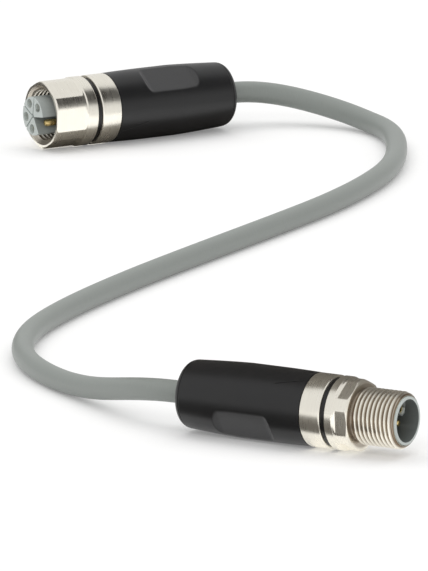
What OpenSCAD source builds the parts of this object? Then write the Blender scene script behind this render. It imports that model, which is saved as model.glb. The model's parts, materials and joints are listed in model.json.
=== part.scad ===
// Ready-made M12 power cord: a five-pole socket with a coupling nut and a five-pole
// plug with a coupling screw, joined by a short round cable and laid on a surface.
//
// Each connector is drawn along +Z from the flat rear face of its grip, where the
// cable enters, and is then laid down by lay_socket() or lay_plug(). Heights along a
// connector are named z_..., and radii end in _r.

/* [Cable] */
// Outside diameter of the cable jacket
cable_d = 4.7; // [4.2:0.1:5.2]
// Outside diameter of one insulated core
core_d = 1.2; // [0.9:0.05:1.4]
// Diameter of the stripped conductor at the end of a core
wire_d = 0.84; // [0.6:0.02:0.9]
// Length of conductor that stands in a solder cup
wire_len = 1.8; // [1:0.1:2.4]
// Length of core that stays straight at each of its ends
core_straight = 1; // [0.5:0.1:1.5]

/* [Grip] */
// Length of each moulded grip
grip_len = 30.1; // [28:0.1:33]
// Height by which the belly of the grip stands above the metal ring
belly_proud = 0.15; // [0.1:0.05:0.6]
// Radial depth of the rounded rear edge
heel_drop = 0.95; // [0.5:0.05:1.5]
// Height by which the belly stands above the end of the rounded rear edge
belly_rise = 0.65; // [0.3:0.05:1]
// Length of the rounded rear edge
heel_len = 1.7; // [1:0.1:2.5]
// Distance from the rear end to the straight belly of the grip
belly_start = 14; // [11:0.5:16]
// Length of the straight belly
belly_len = 7; // [4:0.5:9]
// Thickness of solid grip behind the inner housing
grip_wall = 7; // [5:0.5:8]

/* [Finger recesses] */
// Depth of a recess below the belly
recess_depth = 0.85; // [0.4:0.05:1.1]
// Length of the flat floor of a recess
recess_len = 9; // [6:0.5:10]
// Distance from the rear end of the grip to the recess floor
recess_start = 9.85; // [8.5:0.05:11]
// Radius of the curved ramp at each end of a recess
recess_ramp_r = 2; // [1.5:0.1:3]

/* [Inner housing] */
// Wall of the inner housing round the contact carrier
housing_wall = 1.1; // [0.8:0.1:1.3]
// Wall of the inner housing behind the crimp ferrule
housing_back = 1; // [0.6:0.1:1.5]
// Length of the crimp ferrule on the cable jacket
ferrule_len = 5; // [3.5:0.5:6]
// Wall thickness of the crimp ferrule
ferrule_wall = 0.4; // [0.3:0.05:0.6]
// Wall of the inner housing in front of the crimp ferrule
housing_web = 2; // [1:0.1:2.5]
// How far the housing ends behind the front of the grip
housing_setback = 1.1; // [0.8:0.1:1.6]
// Depth by which the contact carrier sits in the housing
carrier_seat = 2; // [1.5:0.1:3]

/* [Shell ring] */
// Visible length of the ring
ring_len = 4.8; // [4:0.1:6]
// Length of the skirt that the grip is moulded around
skirt_len = 5.1; // [4:0.1:6]
// Wall thickness of the skirt
skirt_wall = 0.9; // [0.6:0.1:1.1]
// Small chamfer on turned edges
edge = 0.2; // [0.1:0.05:0.3]

/* [Thrust ring] */
// Width of the plastic ring between the shell ring and the coupling
thrust_w = 1; // [0.8:0.1:1.4]
// Depth of that ring below the metal on both sides of it
thrust_depth = 0.45; // [0.3:0.05:0.8]

/* [Coupling] */
// Width across the six wide flats
flats_w = 14; // [13.8:0.1:15]
// Depth of the wide flats below the turned collar
flat_depth = 0.65; // [0.5:0.05:0.8]
// Depth of the six narrow corner facets below the turned collar
facet_depth = 0.2; // [0.1:0.05:0.25]
// Length from the back of the collar to the start of the flats
collar_len = 3.2; // [2.8:0.1:3.6]
// Length of the coupling nut
nut_len = 10.4; // [9.8:0.1:12]
// Width of the 45 degree chamfer on the front of the nut
nut_chamfer = 0.5; // [0.3:0.05:0.6]
// Length of the hexagon on the coupling screw, with its collar
screw_head_len = 5.1; // [4.8:0.1:6.5]
// Width of the chamfer on the front of the screw head
screw_chamfer = 0.75; // [0.5:0.05:1]
// Slope of that chamfer
screw_chamfer_slope = 30; // [20:1:40]
// Length of the undercut behind the screw thread
undercut_len = 1; // [0.6:0.1:1.4]
// Length of the screw thread
thread_len = 9.1; // [8:0.1:10]
// Nominal diameter of the coupling thread
thread_d = 12; // [11.5:0.1:12.5]
// Wall of the coupling screw under its thread
screw_wall = 0.28; // [0.2:0.02:0.4]
// Pitch of the coupling thread
thread_pitch = 1; // [0.75:0.25:1]
// Width of the lip that keeps a coupling on its connector
lip_w = 1.5; // [1.2:0.1:1.8]

/* [Contacts] */
// Diameter of a contact pin
pin_d = 1.5; // [1.3:0.02:1.52]
// Outside diameter of a contact's body
contact_d = 2.1; // [1.96:0.02:2.2]
// Diameter of a plug pin's root, where it passes the floor of the cup
root_d = 1.9; // [1.7:0.02:1.94]
// Thickness of the cup's floor in front of the contact bodies
floor_w = 0.5; // [0.4:0.1:1]
// Depth of the bore in a socket contact
socket_depth = 7; // [5.5:0.1:7.5]
// Length of a contact's tail behind the carrier
tail_len = 2.5; // [2:0.1:3.5]
// Diameter of a contact's tail
tail_d = 1.5; // [1.3:0.05:1.6]
// Length of tail inside the carrier
tail_in = 1; // [0.5:0.1:2]

/* [Contact carriers] */
// Wall between an entry hole and the edge of the socket's face
face_wall = 0.34; // [0.3:0.02:0.4]
// How far the socket's carrier stands out of the nut
carrier_proud = 2.1; // [1.5:0.1:2.6]
// Depth of the entry holes in the socket's face
entry_depth = 1.3; // [0.6:0.05:1.6]
// Diameter of the entry holes in the socket's face
entry_d = 2.04; // [1.9:0.02:2.08]
// Half angle of the earth keyway and of the earth post
key_half_angle = 33; // [30:1:35]
// Distance from the earth contact's axis to the keyway's walls
keyway_half_w = 1.4; // [1.36:0.01:1.45]
// Distance from the earth contact's axis to the earth post's walls
post_half_w = 1.25; // [1.2:0.01:1.28]
// Wall of the earth post between its contact and the middle of the cup
post_wall = 0.28; // [0.2:0.02:0.35]
// Width of the slits between the sockets
slit_w = 0.35; // [0.25:0.05:0.5]
// Depth of the slits between the sockets
slit_depth = 6; // [3:0.5:7]
// Wall thickness of the plug's cup
cup_wall = 0.55; // [0.5:0.01:0.58]
// How far the cup stands out of the coupling screw
cup_proud = 0.3; // [0.1:0.05:0.6]
// How far the plug's pins end below the rim of the cup
pin_setback = 3.5; // [3:0.1:4.5]
// How far the earth post ends below the rim of the cup
post_setback = 0.6; // [0.4:0.05:1]
// How far the earth pin ends below the socket's face
earth_pin_setback = 1.4; // [1:0.1:2]
// Diameter of the pit in the middle of the socket's face
pit_d = 0.9; // [0.5:0.05:1]

/* [Retainer sleeve and seal] */
// Wall thickness of the sleeve that the nut turns on
sleeve_wall = 0.55; // [0.45:0.01:0.58]
// Height of the sleeve's shoulder
shoulder_h = 0.5; // [0.4:0.01:0.52]
// Width of the sleeve's shoulder
shoulder_w = 1.2; // [0.8:0.1:1.6]
// Thickness of the sealing ring
seal_w = 1; // [0.9:0.02:1.02]

/* [Clearances] */
// Play along the axis behind a coupling
end_play = 0.1; // [0.05:0.05:0.3]
// Play along the axis between a coupling's lip and its stop
lip_play = 0.2; // [0.1:0.05:0.4]
// Radial clearance under a coupling that turns
turn_gap = 0.1; // [0.05:0.01:0.12]
// Radial clearance between a contact and its chamber
chamber_gap = 0.02; // [0.01:0.01:0.04]
// Radial clearance between a pin and the bore that takes it
contact_gap = 0.03; // [0.01:0.01:0.05]
// Radial clearance between the carrier and the cup of a mating connector
mate_gap = 0.15; // [0.1:0.01:0.17]
// Clearance between the thread's crests and the nominal diameter
crest_gap = 0.05; // [0.02:0.01:0.08]
// Spare depth in the cup past the point where the seal is met
cup_spare = 0.4; // [0.3:0.05:0.6]

/* [Clocking] */
// Angle of the socket's earth contact about its axis
socket_earth_angle = 65; // [0:1:359]
// Angle of one finger recess on the socket's grip
socket_recess_angle = 145; // [0:1:359]
// Angle of one wide flat on the coupling nut
nut_flat_angle = 88.5; // [0:0.5:359]
// Angle of the plug's earth contact about its axis
plug_earth_angle = 206; // [0:1:359]
// Angle of one finger recess on the plug's grip
plug_recess_angle = 123; // [0:1:359]
// Angle of one wide flat on the coupling screw
screw_flat_angle = 94.5; // [0:0.5:359]

/* [Hidden] */
$fn = 96;

// Five contacts stand at equal steps, and the earth contact is the first
pole_step = 360 / 5;
// Overlap by which a cutter passes the face that it opens
over = 1;
// Corner facets and flats are each six to a turn
hex_step = 360 / 6;
// Depths of a metric thread as shares of its pitch, in a nut and on a screw
nut_thread_share = 0.5413;
screw_thread_share = 0.6134;

// Where the rear faces of the two grips lie, and which way the connectors point
socket_at = [1.79, 168.47];
socket_heading = 211;
plug_at = [-4.72, -142.93];
plug_heading = 329;

// Radii
cable_r = cable_d / 2;
core_r = core_d / 2;
core_gap = 0.03;
core_circle_r = (core_d + core_gap) / (2 * sin(pole_step / 2));
flat_r = flats_w / 2;
collar_r = flat_r + flat_depth;
facet_r = collar_r - facet_depth;
thrust_r = collar_r - thrust_depth;
belly_r = collar_r + belly_proud;
heel_r = belly_r - belly_rise;
crest_r = thread_d / 2 - crest_gap;
undercut_r = thread_d / 2 - screw_thread_share * thread_pitch;
thread_minor_r = thread_d / 2 - nut_thread_share * thread_pitch;
screw_bore_r = undercut_r - screw_wall;
cup_r = screw_bore_r - turn_gap;
cup_in_r = cup_r - cup_wall;
carrier_r = cup_in_r - mate_gap;
neck_r = carrier_r + sleeve_wall;
shoulder_r = neck_r + shoulder_h;
housing_r = carrier_r + housing_wall;
skirt_r = housing_r + skirt_wall;
ferrule_r = cable_r + ferrule_wall;
mouth_r = thread_d / 2 + edge;
seal_r = seal_w / 2;
seal_circle_r = carrier_r + contact_gap + seal_r;
entry_r = entry_d / 2;
contact_circle_r = carrier_r - face_wall - entry_r;
contact_r = contact_d / 2;
pin_r = pin_d / 2;
root_r = root_d / 2;
bore_r = pin_r + contact_gap;
tail_r = tail_d / 2;
cup_bore_r = wire_d / 2 + contact_gap;
chamber_r = contact_r + chamber_gap;
post_flat_r = contact_circle_r - chamber_r - post_wall;

// Heights from the rear face of a grip, common to both connectors
z_housing = grip_wall;
z_ferrule = z_housing + housing_back;
z_jacket = z_ferrule + ferrule_len + housing_web;
z_seam = grip_len;
z_housing_front = z_seam - housing_setback;
z_carrier = z_housing_front - carrier_seat;
z_tail = z_carrier - tail_len;
z_body = z_carrier + tail_in;
z_skirt = z_seam - skirt_len;
z_ring_front = z_seam + ring_len;
z_thrust_front = z_ring_front + thrust_w;
z_coupling = z_thrust_front + end_play;
z_lip = z_coupling + lip_w;
z_stop = z_lip + lip_play;
z_flats = z_coupling + collar_len;

// Heights on the socket
z_shoulder_front = z_stop + shoulder_w;
z_nut_thread = z_shoulder_front + lip_play + end_play;
z_seal_front = z_shoulder_front + seal_w;
z_nut_front = z_coupling + nut_len;
z_face = z_nut_front + carrier_proud;
z_socket_tip = z_face - entry_depth;
z_socket_floor = z_socket_tip - socket_depth;
z_keyway = z_seal_front + end_play;
z_earth_tip = z_face - earth_pin_setback;

// Heights on the plug
z_head_front = z_coupling + screw_head_len;
z_screw_thread = z_head_front + undercut_len;
z_screw_front = z_screw_thread + thread_len;
z_rim = z_screw_front + cup_proud;
z_cup_floor = z_rim - (z_face - z_seal_front) - cup_spare;
z_pin_tip = z_rim - pin_setback;
z_post_top = z_rim - post_setback;
z_pin_shoulder = z_cup_floor - floor_w;
z_earth_bore_top = z_post_top - post_setback;
z_earth_bore_floor = z_earth_bore_top - socket_depth;

// The cable's free stretch, a loose S on the surface from the socket to the plug
free_route = [
    [5.64, 170.63, 7.74], [10.15, 172.23, 7.36], [15.42, 172.87, 6.52], [20.91, 172.14, 5.39],
    [26.1, 170.07, 4.25], [30.71, 166.88, 3.24], [34.38, 162.67, 2.55], [36.81, 158.17, 2.37],
    [38.6, 152.37, 2.35], [39.6, 146.17, 2.35], [40, 138.57, 2.35], [39.9, 130.07, 2.35],
    [39.1, 120.07, 2.35], [37.1, 109.07, 2.35], [33.6, 97.07, 2.35], [28.9, 84.57, 2.35],
    [23.3, 72.07, 2.35], [16.9, 59.57, 2.35], [10.2, 47.07, 2.35], [3.4, 34.57, 2.35],
    [-3.4, 22.07, 2.35], [-10.1, 9.57, 2.35], [-16.6, -2.93, 2.35], [-22.8, -15.63, 2.35],
    [-28.6, -28.43, 2.35], [-33.8, -41.63, 2.35], [-37.8, -55.03, 2.35], [-39.7, -68.43, 2.35],
    [-39.3, -81.83, 2.35], [-36, -95.43, 2.35], [-30.6, -107.84, 2.55], [-24.6, -118.93, 3.7],
    [-19, -128.43, 5.6], [-14.6, -134.83, 6.95], [-10.2, -139.24, 7.64]
];
cable_sides = 12;
core_sides = 10;

// ---- placing ----------------------------------------------------------------

// A connector lies on the belly of its grip and points along its heading.
module lay(at, heading) {
    translate([at.x, at.y, belly_r]) rotate([0, 0, heading]) rotate([0, 90, 0]) children();
}

module lay_socket() { lay(socket_at, socket_heading) children(); }

module lay_plug() { lay(plug_at, plug_heading) children(); }

// Moves its children from the axis to one contact, counted from the earth contact.
module at_contact(earth_angle, index, radius = contact_circle_r) {
    rotate([0, 0, earth_angle + index * pole_step]) translate([radius, 0, 0]) children();
}

// ---- basic forms ------------------------------------------------------------

// A turned piece, from [radius, height] points
module turned(section) { rotate_extrude() polygon(section); }

// A round bar or hole between two heights
module bar(radius, z0, z1) { translate([0, 0, z0]) cylinder(r = radius, h = z1 - z0); }

// A plain tube between two heights
module pipe(outer, inner, z0, z1) {
    turned([[inner, z0], [outer, z0], [outer, z1], [inner, z1]]);
}

// ---- cable ------------------------------------------------------------------

function unit(v) = v / norm(v);

function along(at, heading, distance) =
    [at.x + distance * cos(heading), at.y + distance * sin(heading), belly_r];

// Jacket end, rear face, free stretch, rear face, jacket end
function cable_route() = concat(
    [along(socket_at, socket_heading, z_jacket), along(socket_at, socket_heading, 0)],
    free_route,
    [along(plug_at, plug_heading, 0), along(plug_at, plug_heading, z_jacket)]
);

function tangent(path, i) =
    unit(path[min(i + 1, len(path) - 1)] - path[max(i - 1, 0)]);

// Corners of the ring round point i: one axis of the ring stays square to up
function ring_points(path, i, r, sides, up) =
    let (t = tangent(path, i), level = unit(cross(t, up)), rise = cross(t, level))
    [for (k = [0:sides - 1])
        path[i] + r * (cos(k * 360 / sides) * level + sin(k * 360 / sides) * rise)];

// One closed tube through every point of the path
module swept(path, r, sides, up) {
    last = len(path) - 1;
    points = [for (i = [0:last]) each ring_points(path, i, r, sides, up)];
    walls = [for (i = [0:last - 1], k = [0:sides - 1])
        let (a = i * sides + k, b = i * sides + (k + 1) % sides)
        each [[a, a + sides, b], [b, a + sides, b + sides]]];
    ends = [[for (k = [0:sides - 1]) k], [for (k = [sides - 1:-1:0]) last * sides + k]];
    polyhedron(points = points, faces = concat(ends, walls));
}

module cable() { color("gray") swept(cable_route(), cable_r, cable_sides, [0, 0, 1]); }

// ---- grip -------------------------------------------------------------------

// Rounded rear edge: a quarter of an ellipse
function heel_curve(steps = 6) = [for (i = [0:steps])
    [heel_r - heel_drop * (1 - sin(90 * i / steps)),
     heel_len * (1 - cos(90 * i / steps))]];

// Back of the grip: swells from the heel to the belly, ever more slowly
function swell_curve(steps = 6) = [for (i = [1:steps])
    [belly_r - (belly_r - heel_r) * pow(1 - i / steps, 1.3),
     heel_len + (belly_start - heel_len) * i / steps]];

// Front of the grip: falls from the belly to the ring as a parabola
function fall_curve(steps = 6) = let (z0 = belly_start + belly_len) [for (i = [0:steps])
    [belly_r - (belly_r - collar_r) * pow(i / steps, 2), z0 + (z_seam - z0) * i / steps]];

// One finger recess: a flat floor that curves up at both ends, cut straight across
module finger_recess() {
    floor_r = belly_r - recess_depth;
    rotate([90, 0, 0]) linear_extrude(height = 2 * belly_r, center = true)
        union() {
            translate([floor_r, recess_start]) square([2 * recess_ramp_r, recess_len]);
            for (z = [recess_start, recess_start + recess_len])
                translate([floor_r + recess_ramp_r, z]) circle(r = recess_ramp_r);
        }
}

module grip(recess_angle) {
    difference() {
        turned(concat([[0, 0]], heel_curve(), swell_curve(), fall_curve(), [[0, z_seam]]));
        bar(cable_r, -over, z_housing + over);
        bar(housing_r, z_housing, z_seam + over);
        bar(skirt_r, z_skirt, z_seam + over);
        for (turn = [0, 180]) rotate([0, 0, recess_angle + turn]) finger_recess();
    }
}

module female_grip() { color("#2e2e2e") lay_socket() grip(socket_recess_angle); }

module male_grip() { color("#2e2e2e") lay_plug() grip(plug_recess_angle); }

// ---- inside of a grip -------------------------------------------------------

// Holds the jacket and its ferrule at the back and the contact carrier in front
module inner_housing() {
    difference() {
        bar(housing_r, z_housing, z_housing_front);
        bar(cable_r, z_housing - over, z_jacket + over);
        bar(ferrule_r, z_ferrule, z_ferrule + ferrule_len);
        bar(carrier_r, z_jacket, z_housing_front + over);
    }
}

module female_inner_housing() { color("#55585c") lay_socket() inner_housing(); }

module male_inner_housing() { color("#55585c") lay_plug() inner_housing(); }

module crimp_ferrule() { pipe(ferrule_r, cable_r, z_ferrule, z_ferrule + ferrule_len); }

module female_crimp_ferrule() { color("#b8963c") lay_socket() crimp_ferrule(); }

module male_crimp_ferrule() { color("#b8963c") lay_plug() crimp_ferrule(); }

// A core leaves the jacket, spreads to the circle of the contacts, and ends as bare
// wire in a solder cup. Between its straight ends it follows a smooth S, 3t^2 - 2t^3.
function core_path(steps = 10) =
    let (z0 = z_jacket + core_straight, z1 = z_tail - core_straight)
    concat(
        [[core_circle_r, 0, z_jacket]],
        [for (i = [0:steps]) let (t = i / steps)
            [core_circle_r + (contact_circle_r - core_circle_r) * t * t * (3 - 2 * t), 0,
             z0 + (z1 - z0) * t]],
        [[contact_circle_r, 0, z_tail]]
    );

module core() {
    swept(core_path(), core_r, core_sides, [0, 1, 0]);
    translate([contact_circle_r, 0, 0])
        bar(wire_d / 2, z_tail - core_straight / 2, z_tail + wire_len);
}

module female_core(index) {
    lay_socket() at_contact(socket_earth_angle, index, 0) core();
}

module male_core(index) {
    lay_plug() at_contact(plug_earth_angle, index, 0) core();
}

module female_core_1() { color("#3a2a20") female_core(1); }
module female_core_2() { color("#e8e8e4") female_core(2); }
module female_core_3() { color("#2c5fa8") female_core(3); }
module female_core_4() { color("#202020") female_core(4); }
module female_core_earth() { color("#8fae2a") female_core(0); }
module male_core_1() { color("#3a2a20") male_core(4); }
module male_core_2() { color("#e8e8e4") male_core(3); }
module male_core_3() { color("#2c5fa8") male_core(2); }
module male_core_4() { color("#202020") male_core(1); }
module male_core_earth() { color("#8fae2a") male_core(0); }

// ---- rings ------------------------------------------------------------------

// Turned ring with a thin skirt for the grip to hold
module shell_ring(inner) {
    turned([
        [housing_r, z_skirt], [skirt_r, z_skirt], [skirt_r, z_seam], [collar_r - edge, z_seam],
        [collar_r, z_seam + edge], [collar_r, z_ring_front - edge],
        [collar_r - edge, z_ring_front], [inner, z_ring_front],
        [inner, z_housing_front], [housing_r, z_housing_front]
    ]);
}

module female_shell_ring() { color("#c9c7c0") lay_socket() shell_ring(neck_r); }

module male_shell_ring() { color("#c9c7c0") lay_plug() shell_ring(carrier_r); }

// Plastic ring that the coupling turns against
module thrust_ring(inner) { pipe(thrust_r, inner, z_ring_front, z_thrust_front); }

module female_thrust_ring() { color("#202020") lay_socket() thrust_ring(neck_r); }

module male_thrust_ring() { color("#202020") lay_plug() thrust_ring(carrier_r); }

// ---- couplings --------------------------------------------------------------

// Cutter for one flat: it starts at z0, and behind that it runs out at 45 degrees
module flat_cut(distance, z0, z1) {
    rise = 2 * (collar_r - distance);
    rotate([90, 0, 0]) linear_extrude(height = 2 * collar_r, center = true)
        polygon([[distance, z0], [distance + rise, z0 - rise],
                 [distance + rise, z1 + over], [distance, z1 + over]]);
}

// Six wide flats with six narrow facets between them, which share their run-out
module hexagon_cuts(flat_angle, z1) {
    for (k = [0:5]) rotate([0, 0, flat_angle + k * hex_step]) {
        flat_cut(flat_r, z_flats, z1);
        rotate([0, 0, hex_step / 2]) flat_cut(facet_r, z_flats - (facet_r - flat_r), z1);
    }
}

module coupling_nut() {
    face_r = collar_r - nut_chamfer;
    difference() {
        turned([
            [neck_r + turn_gap, z_coupling], [collar_r - edge, z_coupling],
            [collar_r, z_coupling + edge], [collar_r, z_nut_front - nut_chamfer],
            [face_r, z_nut_front], [mouth_r, z_nut_front],
            [thread_minor_r, z_nut_front - (mouth_r - thread_minor_r)],
            [thread_minor_r, z_nut_thread], [thread_d / 2, z_nut_thread],
            [thread_d / 2, z_lip], [neck_r + turn_gap, z_lip]
        ]);
        hexagon_cuts(nut_flat_angle, z_nut_front);
    }
}

module female_coupling_nut() { color("#cfcdc6") lay_socket() coupling_nut(); }

module coupling_screw() {
    face_r = collar_r - screw_chamfer;
    tip = crest_r - undercut_r;
    difference() {
        turned([
            [carrier_r + turn_gap, z_coupling], [collar_r - edge, z_coupling],
            [collar_r, z_coupling + edge],
            [collar_r, z_head_front - screw_chamfer * tan(screw_chamfer_slope)],
            [face_r, z_head_front], [undercut_r, z_head_front],
            [undercut_r, z_screw_thread], [crest_r, z_screw_thread + tip],
            [crest_r, z_screw_front - tip], [undercut_r, z_screw_front],
            [screw_bore_r, z_screw_front], [screw_bore_r, z_lip],
            [carrier_r + turn_gap, z_lip]
        ]);
        hexagon_cuts(screw_flat_angle, z_head_front);
    }
}

module male_coupling_screw() { color("#cfcdc6") lay_plug() coupling_screw(); }

// ---- retainer sleeve and seal -----------------------------------------------

// Its neck carries the nut, and its shoulder keeps the nut on
module female_retainer_sleeve() {
    color("#c9c7c0") lay_socket() turned([
        [carrier_r, z_housing_front], [neck_r, z_housing_front], [neck_r, z_stop],
        [shoulder_r, z_stop], [shoulder_r, z_shoulder_front],
        [carrier_r, z_shoulder_front]
    ]);
}

module female_seal_ring() {
    color("#1c1c1c") lay_socket() translate([0, 0, z_shoulder_front + seal_r])
        rotate_extrude() translate([seal_circle_r, 0]) circle(r = seal_r);
}

// ---- contact carriers -------------------------------------------------------

// Wedge about the earth contact, open outwards; its walls are half_w from the contact
module earth_wedge(half_w, z0, z1, reach) {
    apex = contact_circle_r - half_w / sin(key_half_angle);
    translate([0, 0, z0]) linear_extrude(height = z1 - z0)
        polygon([[apex, 0], [reach, -(reach - apex) * tan(key_half_angle)],
                 [reach, (reach - apex) * tan(key_half_angle)]]);
}

module female_contact_carrier() {
    color("#c4c8c0") lay_socket() rotate([0, 0, socket_earth_angle]) difference() {
        bar(carrier_r, z_carrier, z_face);
        earth_wedge(keyway_half_w, z_keyway, z_face + over, 2 * carrier_r);
        bar(pit_d / 2, z_face - entry_depth, z_face + over);
        at_contact(0, 0) bar(chamber_r, z_carrier - over, z_keyway + over);
        for (k = [1:4]) at_contact(0, k) {
            bar(chamber_r, z_carrier - over, z_socket_tip);
            bar(entry_r, z_socket_tip - over, z_face + over);
        }
        for (k = [1:3]) rotate([0, 0, (k + 0.5) * pole_step])
            translate([0, -slit_w / 2, z_face - slit_depth])
                cube([carrier_r, slit_w, slit_depth + over]);
    }
}

module male_contact_carrier() {
    color("#c4c8c0") lay_plug() rotate([0, 0, plug_earth_angle]) difference() {
        union() {
            bar(carrier_r, z_carrier, z_stop + over);
            bar(cup_r, z_stop, z_cup_floor);
            pipe(cup_r, cup_in_r, z_cup_floor, z_rim);
            earth_post();
        }
        at_contact(0, 0) {
            bar(chamber_r, z_carrier - over, z_earth_bore_top);
            bar(entry_r, z_earth_bore_top - over, z_post_top + over);
        }
        for (k = [1:4]) at_contact(0, k) {
            bar(chamber_r, z_carrier - over, z_pin_shoulder);
            bar(root_r + chamber_gap, z_pin_shoulder - over, z_cup_floor + over);
        }
    }
}

// Wedge-shaped post inside the cup; it grows out of the cup's wall
module earth_post() {
    intersection() {
        earth_wedge(post_half_w, z_cup_floor - over, z_post_top, 2 * carrier_r);
        bar(cup_r, z_cup_floor - over, z_post_top);
        translate([post_flat_r, -cup_r, z_cup_floor - over])
            cube([cup_r, 2 * cup_r, z_post_top - z_cup_floor + over]);
    }
}

// ---- contacts ---------------------------------------------------------------

// Body of a contact, with a tail that ends in a solder cup
module contact_stem(z_front) {
    difference() {
        union() {
            bar(contact_r, z_body, z_front);
            bar(tail_r, z_tail, z_body + over);
        }
        bar(cup_bore_r, z_tail - over, z_carrier);
    }
}

module socket_contact(z_tip, z_floor) {
    difference() {
        contact_stem(z_tip);
        bar(bore_r, z_floor, z_tip + over);
    }
}

// A pin with a rounded tip: its body ends at a shoulder, and its root at z_root
module pin_contact(z_shoulder, z_root, z_tip) {
    nose = pin_r / 2;
    contact_stem(z_shoulder);
    turned([[0, z_shoulder - over], [root_r, z_shoulder - over], [root_r, z_root],
            [pin_r, z_root], [pin_r, z_tip - nose], [pin_r * 0.8, z_tip - nose / 3],
            [pin_r * 0.5, z_tip], [0, z_tip]]);
}

module female_socket(index) {
    color("#d4af5a") lay_socket() at_contact(socket_earth_angle, index)
        socket_contact(z_socket_tip, z_socket_floor);
}

module male_pin(index) {
    color("#d4af5a") lay_plug() at_contact(plug_earth_angle, index)
        pin_contact(z_pin_shoulder, z_cup_floor, z_pin_tip);
}

module female_socket_1() { female_socket(1); }
module female_socket_2() { female_socket(2); }
module female_socket_3() { female_socket(3); }
module female_socket_4() { female_socket(4); }

module female_earth_pin() {
    color("#d4af5a") lay_socket() at_contact(socket_earth_angle, 0)
        pin_contact(z_keyway, z_keyway, z_earth_tip);
}

module male_pin_1() { male_pin(4); }
module male_pin_2() { male_pin(3); }
module male_pin_3() { male_pin(2); }
module male_pin_4() { male_pin(1); }

module male_earth_socket() {
    color("#d4af5a") lay_plug() at_contact(plug_earth_angle, 0)
        socket_contact(z_earth_bore_top, z_earth_bore_floor);
}

// ---- assembly ---------------------------------------------------------------

cable();
female_grip();
female_inner_housing();
female_crimp_ferrule();
female_shell_ring();
female_thrust_ring();
female_coupling_nut();
female_retainer_sleeve();
female_seal_ring();
female_contact_carrier();
female_socket_1();
female_socket_2();
female_socket_3();
female_socket_4();
female_earth_pin();
female_core_1();
female_core_2();
female_core_3();
female_core_4();
female_core_earth();
male_grip();
male_inner_housing();
male_crimp_ferrule();
male_shell_ring();
male_thrust_ring();
male_coupling_screw();
male_contact_carrier();
male_pin_1();
male_pin_2();
male_pin_3();
male_pin_4();
male_earth_socket();
male_core_1();
male_core_2();
male_core_3();
male_core_4();
male_core_earth();
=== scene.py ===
"""Dresses a ready-made M12 power cord: a socket and a plug joined by a short grey cable."""

import json
import math

import bmesh
import bpy
import numpy as np
from bpy.props import FloatProperty, FloatVectorProperty, IntProperty, PointerProperty
from mathutils import Matrix, Vector


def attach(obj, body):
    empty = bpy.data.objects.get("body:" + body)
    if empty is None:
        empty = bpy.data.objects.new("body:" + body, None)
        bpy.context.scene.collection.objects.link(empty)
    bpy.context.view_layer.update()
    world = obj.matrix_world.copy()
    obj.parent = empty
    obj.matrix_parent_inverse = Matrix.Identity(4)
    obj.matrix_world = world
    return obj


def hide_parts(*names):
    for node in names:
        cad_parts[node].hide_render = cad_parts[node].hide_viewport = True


bl_info = {
    "name": "M12 power cord",
    "version": (1, 0, 0),
    "blender": (4, 5, 0),
    "location": "3D View > Sidebar > Power Cord",
    "description": "Finishes a five-pole M12 power cord around its packed model",
    "category": "Object",
}

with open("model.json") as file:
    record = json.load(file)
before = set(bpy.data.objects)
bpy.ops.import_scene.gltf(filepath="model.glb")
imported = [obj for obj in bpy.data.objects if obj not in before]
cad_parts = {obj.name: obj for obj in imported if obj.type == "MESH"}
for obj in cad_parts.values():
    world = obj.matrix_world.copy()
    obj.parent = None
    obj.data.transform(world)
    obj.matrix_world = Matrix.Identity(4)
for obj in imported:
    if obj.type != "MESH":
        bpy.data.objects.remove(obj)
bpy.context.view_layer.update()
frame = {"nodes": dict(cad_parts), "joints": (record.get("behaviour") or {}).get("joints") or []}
MM = 0.001
TURN = 2 * math.pi


# ---- where the connectors lie ---------------------------------------------------


def node_points(name):
    """The corners of a CAD node's mesh at rest, as rows of an array."""
    vertices = frame["nodes"][name].data.vertices
    points = np.empty(len(vertices) * 3)
    vertices.foreach_get("co", points)
    return points.reshape(-1, 3)


class Connector:
    """One connector and its own axes. The origin is the middle of the grip's rear face; x points
    down, y to the connector's left and z along it, to where it points."""

    def __init__(self, end, joint):
        hinge = next(j for j in frame["joints"] if j["name"] == joint)
        forward = np.array(hinge["axis"], float)
        forward /= np.linalg.norm(forward)
        down = np.array([0.0, 0.0, -1.0])
        self.end = end
        self.body = hinge["child"]
        self.axes = np.column_stack([down, np.cross(forward, down), forward])
        self.origin = np.array(hinge["pos_m"], float)
        self.origin = self.origin + forward * self.heights(f"{end}_grip")[0]

    def own(self, points):
        """Points of the frame in the connector's own axes."""
        return (points - self.origin) @ self.axes

    def placed(self, points):
        """Points of the connector's own axes in the frame."""
        return points @ self.axes.T + self.origin

    def heights(self, node):
        """Lowest and highest place of a node along the connector."""
        along = self.own(node_points(node))[:, 2]
        return along.min(), along.max()

    def radii(self, node):
        """Least and greatest distance of a node's corners from the connector's axis."""
        points = self.own(node_points(node))
        away = np.hypot(points[:, 0], points[:, 1])
        return away.min(), away.max()


SOCKET = Connector("female", "nut_spin")
PLUG = Connector("male", "screw_spin")
CONNECTORS = (SOCKET, PLUG)


# ---- sizes and colours that a user may change -----------------------------------


def srgb(red, green, blue):
    """Linear light of a colour that is named by its 0 to 255 display values."""
    share = np.array([red, green, blue]) / 255
    linear = np.where(share > 0.04045, ((share + 0.055) / 1.055) ** 2.4, share / 12.92)
    return tuple(float(value) for value in linear)


def length(name, description, value):
    """A size in metres, from a value in millimetres."""
    return FloatProperty(
        name=name, description=description, default=value * MM, subtype="DISTANCE", unit="LENGTH"
    )


def angle(name, description, degrees):
    """An angle in radians, from a value in degrees."""
    return FloatProperty(
        name=name, description=description, default=math.radians(degrees), subtype="ANGLE"
    )


def colour(name, description, value):
    """A colour in linear light."""
    return FloatVectorProperty(
        name=name, description=description, default=value, size=3, min=0, max=1, subtype="COLOR"
    )


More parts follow.
